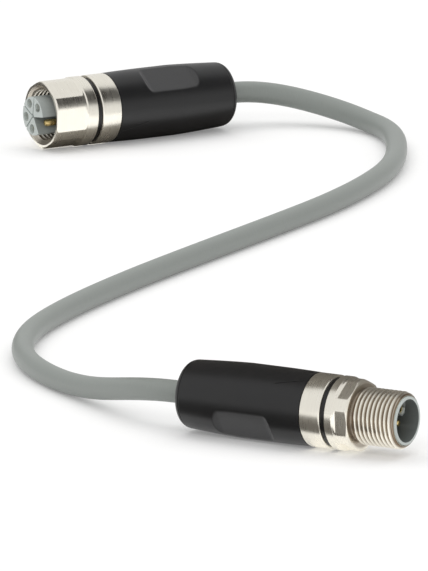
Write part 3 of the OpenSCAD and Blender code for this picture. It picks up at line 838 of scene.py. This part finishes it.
class CORD_OT_cable(bpy.types.Operator):
    """Adds the cable, a round jacket that lies in a loose S on the surface"""

    bl_idname = "cord.cable"
    bl_label = "Cable"

    def execute(self, context):
        in_grip = np.array([0, 0, 2 * MM])
        exits = [connector.origin for connector in CONNECTORS]
        ends = [connector.placed(in_grip) for connector in CONNECTORS]
        route = [ends[0], exits[0], *(np.array(FREE_ROUTE_MM) * MM), exits[1], ends[1]]
        path = spline(route, per_side=14)
        grid = tube_grid(path, sizes().cable_d / 2, sides=40)
        cap_start = np.broadcast_to(path[0], grid[:1].shape)
        cap_end = np.broadcast_to(path[-1], grid[:1].shape)
        grid = np.concatenate([cap_start, grid, cap_end])
        mesh = mesh_from_grid("cable_jacket", grid, sharp=60, closed=False)
        self.map_along(mesh, path)
        cable = add_piece("cable_jacket", mesh, "root", shared(cable_jacket), "cable")
        return {"FINISHED"}

    def map_along(self, mesh, path):
        """A UV map: u is the distance along the cable in millimetres, and v how far up the jacket's
        side a corner is, as an angle. Each corner takes the place of its nearest point of the
        path."""
        corners = np.empty(len(mesh.vertices) * 3)
        mesh.vertices.foreach_get("co", corners)
        corners = corners.reshape(-1, 3)
        travelled = np.append(0, np.cumsum(np.linalg.norm(np.diff(path, axis=0), axis=1)))
        apart = ((corners[:, None, :2] - path[None, :, :2]) ** 2).sum(axis=-1)
        nearest = np.argmin(apart, axis=1)
        off = corners - path[nearest]
        rise = np.arctan2(off[:, 2], np.linalg.norm(off[:, :2], axis=1))
        uv_layer = mesh.uv_layers.new(name="along_cable")
        loop_vertex = np.empty(len(mesh.loops), int)
        mesh.loops.foreach_get("vertex_index", loop_vertex)
        place = np.stack([travelled[nearest] / MM, rise], axis=-1)[loop_vertex]
        uv_layer.data.foreach_set("uv", place.astype(np.float32).ravel())


# ---- grips ----------------------------------------------------------------------


# Longest face along a grip, and the power by which its swell eases to the belly
GRIP_STEP = 0.17 * MM
SWELL_POWER = 1.3


def grip_outline(connector):
    """Outside of a grip as [radius, height] points: a quarter ellipse at the heel, a swell that
    eases as a power to the belly, the straight belly, and a parabola down to the ring."""
    s = sizes()
    end = connector.end
    belly_r = connector.radii(f"{end}_grip")[1]
    ring_r = connector.radii(f"{end}_shell_ring")[1]
    seam = connector.heights(f"{end}_grip")[1]
    heel_r = belly_r - s.belly_rise
    t = np.linspace(0, TURN / 4, 9)
    heel = [heel_r - s.heel_drop * (1 - np.sin(t)), s.heel_len * (1 - np.cos(t))]
    t = np.linspace(0, 1, 30)[1:]
    swell = [
        belly_r - s.belly_rise * (1 - t) ** SWELL_POWER,
        s.heel_len + (s.belly_start - s.heel_len) * t,
    ]
    fall_start = s.belly_start + s.belly_len
    fall = [belly_r - (belly_r - ring_r) * t**2, fall_start + (seam - fall_start) * t]
    return np.hstack([heel, swell, [[belly_r], [fall_start]], fall]).T


# Least cosine of the angle off a recess's middle at which it still cuts the grip
LEAST_FACING = 0.2
# Distance from the axis that stands for no recess, in metres
NO_RECESS = 1.0
# Share of its radius that a recess's ramp runs for, just short of standing upright
RAMP_SHARE = 0.999


def recess_floor(height):
    """How far a finger recess's surface stands above its floor: nothing on the floor, and at each
    end a round ramp that leaves it as r - sqrt(r^2 - d^2) and ends where it stands upright."""
    s = sizes()
    past = np.maximum(s.recess_start - height, height - s.recess_start - s.recess_len)
    ramp_len = RAMP_SHARE * s.recess_ramp
    ramp = s.recess_ramp - np.sqrt(s.recess_ramp**2 - np.clip(past, 0, ramp_len) ** 2)
    return np.where(past > ramp_len, NO_RECESS, ramp)


class CORD_OT_grips(bpy.types.Operator):
    """Adds the two moulded grips with their finger recesses"""

    bl_idname = "cord.grips"
    bl_label = "Grips"

    def execute(self, context):
        for connector, recess in ((SOCKET, sizes().socket_recess), (PLUG, sizes().plug_recess)):
            self.grip(connector, recess)
        return {"FINISHED"}

    def grip(self, connector, recess_angle):
        s = sizes()
        end = connector.end
        outer = filled(grip_outline(connector), GRIP_STEP, closed=False)
        belly_r = connector.radii(f"{end}_grip")[1]
        angles = column_angles()
        radius, height = outer[:, :1], outer[:, 1:]
        for side in (0, math.pi):
            facing = np.cos(angles - recess_angle - side)
            floor = belly_r - s.recess_depth + recess_floor(height)
            flat = floor / np.maximum(facing, LEAST_FACING)
            flat = np.where(facing > LEAST_FACING, flat, NO_RECESS)
            radius = smooth_min(radius, flat, s.soft_edge)
        recessed = np.clip((outer[:, :1] - radius) / s.soft_edge, 0, 1)
        housing_r = connector.radii(f"{end}_inner_housing")[1]
        housing_back = connector.heights(f"{end}_inner_housing")[0]
        skirt_r = housing_r + s.skirt_w
        skirt_back = connector.heights(f"{end}_shell_ring")[0]
        cable_r, edge = s.cable_d / 2, s.exit_edge
        # The last three points round the edge where the cable leaves
        inner = np.array([
            [skirt_r, outer[-1, 1]], [skirt_r, skirt_back], [housing_r, skirt_back],
            [housing_r, housing_back], [cable_r, housing_back],
            [cable_r, edge], [cable_r + 0.32 * edge, 0.4 * edge], [cable_r + edge, 0],
        ])
        outside = turned(radius, height, angles)
        grid = np.concatenate([outside, turned(inner[:, 0], inner[:, 1], angles)])
        mark = np.concatenate([recessed, np.zeros((len(inner), len(angles)))])
        name = f"{end}_grip_shell"
        mesh = mesh_from_grid(name, connector.placed(grid), mark=mark)
        material = shared(grip_plastic, connector)
        add_piece(name, mesh, "root", material, f"{end}_grip")


# ---- rings ----------------------------------------------------------------------


# Rounding of the shell rings' edges and of the thrust rings'
SHELL_ROUND = 0.06 * MM
THRUST_ROUND = 0.12 * MM


class CORD_OT_rings(bpy.types.Operator):
    """Adds the turned shell rings and the black thrust rings"""

    bl_idname = "cord.rings"
    bl_label = "Rings"

    def execute(self, context):
        for connector in CONNECTORS:
            self.shell_ring(connector)
            self.thrust_ring(connector)
        return {"FINISHED"}

    def shell_ring(self, connector):
        s = sizes()
        end = connector.end
        node = f"{end}_shell_ring"
        inner_r, outer_r = connector.radii(node)
        back, front = connector.heights(node)
        seam = connector.heights(f"{end}_grip")[1]
        housing_r = connector.radii(f"{end}_inner_housing")[1]
        housing_front = connector.heights(f"{end}_inner_housing")[1]
        skirt_r = housing_r + s.skirt_w
        outline = rounded([
            [housing_r, back], [skirt_r, back], [skirt_r, seam], [outer_r - s.edge, seam],
            [outer_r, seam + s.edge], [outer_r, front - s.edge], [outer_r - s.edge, front],
            [inner_r, front], [inner_r, housing_front], [housing_r, housing_front],
        ], SHELL_ROUND)
        material = shared(turned_nickel, connector)
        turned_piece(f"{end}_ring", connector, outline, material, node)

    def thrust_ring(self, connector):
        node = f"{connector.end}_thrust_ring"
        name = f"{connector.end}_thrust_washer"
        inner_r, outer_r = connector.radii(node)
        back, front = connector.heights(node)
        section = [[inner_r, back], [outer_r, back], [outer_r, front], [inner_r, front]]
        outline = rounded(section, THRUST_ROUND, steps=4)
        material = shared(grained, "thrust_ring_plastic")
        turned_piece(name, connector, outline, material, node)


# ---- couplings ------------------------------------------------------------------


# Depth of a metric thread and the flat at its greatest radius, as shares of the pitch, first
# in a nut and then on a screw
NUT_THREAD_DEPTH = 0.5413
NUT_THREAD_FLAT = 0.3
SCREW_THREAD_DEPTH = 0.6134
SCREW_THREAD_FLAT = 0.25
# Angle of a thread's flanks to the axis, and the share of its depth that rounds its lower corners
FLANK = math.radians(60)
THREAD_ROUND = 0.2
ROWS_A_PITCH = 12
SIXTH = TURN / 6
# Longest face along the outside of each coupling, and the rounding of its edges
NUT_STEP = 0.15 * MM
SCREW_STEP = 0.09 * MM
EDGE_ROUND = 0.05 * MM
# How far the nut's thread stops short of its front, and its bore short of the thread's back
NUT_PLAIN = 0.1 * MM
NUT_STEP_BACK = 0.02 * MM
# Slope of the chamfer on the screw's head, from square to the axis
HEAD_SLOPE = math.radians(30)
# How far the lead-in of the screw's thread starts below the root, how steep it is at the nose,
# the least wall there, and the width over which it meets the thread
LEAD_BELOW = 0.04 * MM
NOSE_SLOPE = 0.9
NOSE_WALL = 0.1 * MM
NOSE_ROUND = 0.08 * MM
# How much painted shade the screw's undercut and, towards its rim, the nut's mouth cone get,
# where the valleys get 1, and the power that keeps the screw's painted shade to their bottom
UNDERCUT_SHADE = 0.6
CONE_SHADE = 0.5
VALLEY_POWER = 1.5


def hexagon_reach(angles, height, flat_angle, collar_r, flats_from):
    """How far six wide flats and the turned corners between them let the metal reach: the flat's
    distance over the cosine of the angle off its middle, or the corners' radius. Behind
    flats_from the flats run out at 45 degrees, and the corners do so from where the flats have
    come out to them."""
    s = sizes()
    off_flat = np.mod(angles - flat_angle + SIXTH / 2, SIXTH) - SIXTH / 2
    flat_r, corner_r = collar_r - s.flat_depth, collar_r - s.corner_depth
    corners_from = flats_from - (corner_r - flat_r)
    flat = (flat_r + np.maximum(0, flats_from - height)) / np.cos(off_flat)
    corner = corner_r + np.maximum(0, corners_from - height)
    return smooth_min(flat, corner, s.crisp_edge)


def hexagon_angles(flat_angle, collar_r):
    """Angles round a hexagon with extra ones close to each edge between a flat and a corner,
    which is where flat / cos(a) meets the corner's radius."""
    s = sizes()
    edge = math.acos((collar_r - s.flat_depth) / (collar_r - s.corner_depth))
    edges = np.add.outer(flat_angle + np.arange(6) * SIXTH, [edge, -edge]).ravel()
    close = np.radians([-1.2, -0.8, -0.5, -0.25, 0, 0.25, 0.5, 0.8, 1.2])
    return column_angles(np.add.outer(edges, close).ravel())


def hexagon_outside(section, step, angles, flat_angle, flats_from):
    """Radii and heights of the outside of a coupling: its turned section, cut by the hexagon. The
    section's first corner and its last two only guide the rounding of those between."""
    s = sizes()
    steps = 3
    outline = rounded(section, EDGE_ROUND, steps)[steps + 1:-2 * (steps + 1)]
    outline = filled(outline, step, closed=False)
    height = outline[:, 1:]
    collar_r = max(radius for radius, _ in section)
    reach = hexagon_reach(angles, height, flat_angle, collar_r, flats_from)
    return smooth_min(outline[:, :1], reach, s.crisp_edge), height


def thread_depth(phase, pitch, depth, flat):
    """Depth below the greatest radius of a thread that is flat there over that share of a pitch,
    has straight flanks and is flat again at its lowest, where its corners are rounded. The middle
    of the upper flat has a whole number as its phase."""
    away = np.abs(np.mod(phase + 0.5, 1.0) - 0.5) * pitch
    flank = np.maximum(away - flat * pitch / 2, 0) * math.tan(FLANK)
    return smooth_min(flank, np.full_like(flank, depth), THREAD_ROUND * depth)


def thread_rows(start, end, angles, pitch):
    """Heights of rows that climb one pitch a turn, kept between start and end. After one turn a
    row meets the one that is a pitch after it."""
    last = int(math.ceil((end - start) / pitch * ROWS_A_PITCH))
    rise = np.arange(-ROWS_A_PITCH, last + 1)[:, None] / ROWS_A_PITCH + angles[None, :] / TURN
    return np.clip(start + rise * pitch, start, end)


def thread_phase(height, angles, start, pitch):
    """Share of a pitch at each point of the helix through start."""
    return (height - start) / pitch - angles[None, :] / TURN


def add_coupling(name, node, connector, angles, shells, marks):
    """Joins the outside, the thread and the inside of a coupling, each as radii and heights, and
    the mark of each, an array or one value."""
    grid = np.concatenate([turned(*shell, angles) for shell in shells])
    mark = np.concatenate([
        np.broadcast_to(value, (len(shell[0]), len(angles)))
        for value, shell in zip(marks, shells)
    ])
    mesh = mesh_from_grid(name, connector.placed(grid), mark=mark)
    material = shared(turned_nickel, connector)
    add_piece(name, mesh, connector.body, material, node)


class CORD_OT_couplings(bpy.types.Operator):
    """Adds the coupling nut and the coupling screw, with their flats and threads"""

    bl_idname = "cord.couplings"
    bl_label = "Couplings"

    def execute(self, context):
        self.nut()
        self.screw()
        return {"FINISHED"}

    def nut(self):
        s = sizes()
        node = "female_coupling_nut"
        inner_r, collar_r = SOCKET.radii(node)
        back, front = SOCKET.heights(node)
        thread_back = SOCKET.heights("female_retainer_sleeve")[1] + s.nut_gap
        cut = NUT_THREAD_DEPTH * s.thread_pitch
        major_r = s.thread_d / 2
        minor_r = major_r - cut
        mouth_r = major_r + s.mouth_chamfer
        opening = (mouth_r - minor_r) / s.mouth_depth
        angles = hexagon_angles(s.nut_angle, collar_r)
        section = [
            [inner_r, back], [collar_r - s.edge, back], [collar_r, back + s.edge],
            [collar_r, front - s.nut_chamfer], [collar_r - s.nut_chamfer, front],
            [mouth_r, front], [mouth_r - opening * NUT_PLAIN, front - NUT_PLAIN],
            [inner_r, front],
        ]
        outside = hexagon_outside(section, NUT_STEP, angles, s.nut_angle, back + s.collar_len)
        # From here on the outline goes back along the bore, so the rows are turned round
        rows = thread_rows(thread_back, front - NUT_PLAIN, angles, s.thread_pitch)[::-1]
        phase = thread_phase(rows, angles, thread_back, s.thread_pitch)
        wall = major_r - thread_depth(phase, s.thread_pitch, cut, NUT_THREAD_FLAT)
        cone = minor_r + np.maximum(0, rows - front + s.mouth_depth) * opening
        wall = np.maximum(wall, cone)
        lip = back + s.lip_w
        inside = np.array([
            [major_r, major_r, inner_r, inner_r],
            [thread_back - NUT_STEP_BACK, lip, lip, back + EDGE_ROUND],
        ])
        # Painted shade: 1 at the roots of the nut's thread, falling to half on the mouth's cone
        # towards its rim
        valley = np.clip((wall - minor_r) / cut, 0, 1)
        valley = valley * np.clip((major_r - cone) / cut, CONE_SHADE, 1)
        shells = (outside, (wall, rows), inside)
        add_coupling("coupling_nut", node, SOCKET, angles, shells, (0, valley, 1))

    def screw(self):
        s = sizes()
        node = "male_coupling_screw"
        inner_r, collar_r = PLUG.radii(node)
        back, front = PLUG.heights(node)
        head_front = back + s.head_len
        thread_back = head_front + s.undercut_len
        root_r = s.thread_d / 2 - SCREW_THREAD_DEPTH * s.thread_pitch
        crest_r = s.thread_d / 2 - s.crest_gap
        bore_r = root_r - s.screw_wall
        face_r = collar_r - s.head_chamfer
        head_back = head_front - s.head_chamfer * math.tan(HEAD_SLOPE)
        angles = hexagon_angles(s.screw_angle, collar_r)
        section = [
            [inner_r, back], [collar_r - s.edge, back], [collar_r, back + s.edge],
            [collar_r, head_back], [face_r, head_front], [root_r, head_front],
            [root_r, thread_back], [inner_r, thread_back],
        ]
        flats_from = back + s.screw_collar_len
        outside = hexagon_outside(section, SCREW_STEP, angles, s.screw_angle, flats_from)
        rows = thread_rows(thread_back, front, angles, s.thread_pitch)
        phase = thread_phase(rows, angles, thread_back, s.thread_pitch)
        wall = crest_r - thread_depth(phase, s.thread_pitch, s.screw_cut, SCREW_THREAD_FLAT)
        # The thread starts and ends in a chamfer, a little flatter at the nose
        lead_in = np.minimum(rows - thread_back, NOSE_SLOPE * (front - rows))
        lead_in = np.maximum(root_r - LEAD_BELOW + lead_in, bore_r + NOSE_WALL)
        wall = smooth_min(wall, lead_in, NOSE_ROUND)
        lip = back + s.lip_w
        inside = np.array([
            [bore_r + EDGE_ROUND, bore_r, bore_r, inner_r, inner_r],
            [front, front - EDGE_ROUND, lip, lip, back + EDGE_ROUND],
        ])
        # The inner two thirds of the head's face get as much painted shade as the undercut
        neck = np.clip(3 * (face_r - outside[0]) / (face_r - root_r), 0, 1)
        # Painted shade, kept to the bottom of the screw thread's valleys
        valley = np.clip((crest_r - wall) / s.screw_cut, 0, 1) ** VALLEY_POWER
        shells = (outside, (wall, rows), inside)
        marks = (UNDERCUT_SHADE * neck, valley, 0)
        add_coupling("coupling_screw", node, PLUG, angles, shells, marks)


# ---- contact carriers and contacts ----------------------------------------------


def smoothed_copy(name, node):
    """A copy of a CAD node's mesh, merged, with its flat parts made single faces and its round
    parts shaded smooth."""
    mesh = frame["nodes"][node].data.copy()
    mesh.name = name
    mesh.materials.clear()
    merged, flat = 0.001 * MM, math.radians(0.5)
    work = bmesh.new()
    work.from_mesh(mesh)
    bmesh.ops.remove_doubles(work, verts=work.verts, dist=merged)
    bmesh.ops.dissolve_limit(work, angle_limit=flat, verts=work.verts, edges=work.edges)
    work.to_mesh(mesh)
    work.free()
    mesh.shade_smooth()
    mesh.set_sharp_from_angle(angle=math.radians(30))
    return mesh


# Painted shade on the walls of the socket carrier's notch and on its round side, and the angle
# from the earth pin to the notch's walls
NOTCH_SHADE = 0.75
SIDE_SHADE = 0.6
NOTCH_REACH = math.radians(38)
# A face points a way when its normal has this much of it, and is a side wall when its normal has
# less than the second value along the connector
POINTED = 0.9
SIDEWAYS = 0.5


class CORD_OT_carriers(bpy.types.Operator):
    """Adds the two plastic contact carriers"""

    bl_idname = "cord.carriers"
    bl_label = "Contact carriers"

    def execute(self, context):
        for connector in CONNECTORS:
            node = f"{connector.end}_contact_carrier"
            name = f"{connector.end}_insert"
            mesh = smoothed_copy(name, node)
            self.mark_shaded_faces(connector, mesh)
            add_piece(name, mesh, "root", shared(carrier_plastic), node)
        return {"FINISHED"}

    def mark_shaded_faces(self, connector, mesh):
        """Marks the faces on which shade is painted. In the plug's cup these are the ones that
        point to the axis or forward, behind the rim and in front of the contacts' roots. On the
        socket they are the walls of its notch, and its round side in part."""
        middles = connector.own(np.array([tuple(face.center) for face in mesh.polygons]))
        normals = np.array([tuple(face.normal) for face in mesh.polygons]) @ connector.axes
        away = np.maximum(np.hypot(middles[:, 0], middles[:, 1]), 0.1 * MM)
        outward = (middles[:, :2] * normals[:, :2]).sum(axis=1) / away
        forward = normals[:, 2]
        if connector is PLUG:
            floor = connector.heights("male_pin_1")[0]
            rim = connector.heights("male_contact_carrier")[1] - 0.1 * MM
            inside = (middles[:, 2] > floor) & (middles[:, 2] < rim)
            shaded = inside & ((outward < 0) | (forward > POINTED))
        else:
            pin = connector.own(node_points("female_earth_pin")).mean(axis=0)
            off_pin = np.arctan2(middles[:, 1], middles[:, 0]) - np.arctan2(pin[1], pin[0])
            notch = NOTCH_SHADE * (np.cos(off_pin) > math.cos(NOTCH_REACH))
            shaded = np.where(outward > POINTED, SIDE_SHADE, notch) * (np.abs(forward) < SIDEWAYS)
        inner = mesh.attributes.new("inner", "FLOAT", "FACE")
        inner.data.foreach_set("value", shaded.astype(float))


CONTACTS = (
    ["female_earth_pin", "male_earth_socket"]
    + [f"female_socket_{k}" for k in range(1, 5)]
    + [f"male_pin_{k}" for k in range(1, 5)]
)


class CORD_OT_contacts(bpy.types.Operator):
    """Adds the gold-plated pins and sockets"""

    bl_idname = "cord.contacts"
    bl_label = "Contacts"

    def execute(self, context):
        for node in CONTACTS:
            name = f"{node}_plated"
            mesh = smoothed_copy(name, node)
            add_piece(name, mesh, "root", shared(grained, "contact_gold"), node)
        return {"FINISHED"}


# ---- hidden pieces --------------------------------------------------------------


class CORD_OT_inner_pieces(bpy.types.Operator):
    """Finishes the sleeve, the seal and the pieces inside the grips"""

    bl_idname = "cord.inner_pieces"
    bl_label = "Inner pieces"

    def execute(self, context):
        c = colours()
        dress_node("female_retainer_sleeve", shared(turned_nickel, SOCKET))
        dress_node("female_seal_ring", shared(grained, "seal_rubber"))
        insulation = {
            "core_1": core_insulation("core_brown", c.core_brown),
            "core_2": core_insulation("core_white", c.core_white),
            "core_3": core_insulation("core_blue", c.core_blue),
            "core_4": core_insulation("core_black", c.core_black),
            "core_earth": core_insulation("core_earth", c.core_green, c.core_yellow),
        }
        for connector in CONNECTORS:
            end = connector.end
            dress_node(f"{end}_inner_housing", shared(grained, "housing_plastic"))
            dress_node(f"{end}_crimp_ferrule", shared(grained, "ferrule_brass"))
            for core, material in insulation.items():
                dress_node(f"{end}_{core}", material)
        return {"FINISHED"}


# ---- add-on ---------------------------------------------------------------------

PIECES = (
    CORD_OT_stage, CORD_OT_cable, CORD_OT_grips, CORD_OT_rings, CORD_OT_couplings,
    CORD_OT_carriers, CORD_OT_contacts, CORD_OT_inner_pieces,
)


class CORD_PT_pieces(bpy.types.Panel):
    """Buttons for the stage and for each group of pieces"""

    bl_idname = "CORD_PT_pieces"
    bl_label = "Power cord"
    bl_space_type = "VIEW_3D"
    bl_region_type = "UI"
    bl_category = "Power Cord"

    def draw(self, context):
        for piece in PIECES:
            self.layout.operator(piece.bl_idname)


CLASSES = (CordSizes, CordColours, *PIECES, CORD_PT_pieces)


def register():
    for item in CLASSES:
        bpy.utils.register_class(item)
    bpy.types.Scene.cord_sizes = PointerProperty(type=CordSizes)
    bpy.types.Scene.cord_colours = PointerProperty(type=CordColours)


def unregister():
    del bpy.types.Scene.cord_colours
    del bpy.types.Scene.cord_sizes
    for item in reversed(CLASSES):
        bpy.utils.unregister_class(item)


def main():
    register()
    bpy.context.scene.view_settings.view_transform = "Standard"
    bpy.ops.cord.stage()
    bpy.ops.cord.cable()
    bpy.ops.cord.grips()
    bpy.ops.cord.rings()
    bpy.ops.cord.couplings()
    bpy.ops.cord.carriers()
    bpy.ops.cord.contacts()
    bpy.ops.cord.inner_pieces()


if __name__ == "__main__":
    main()
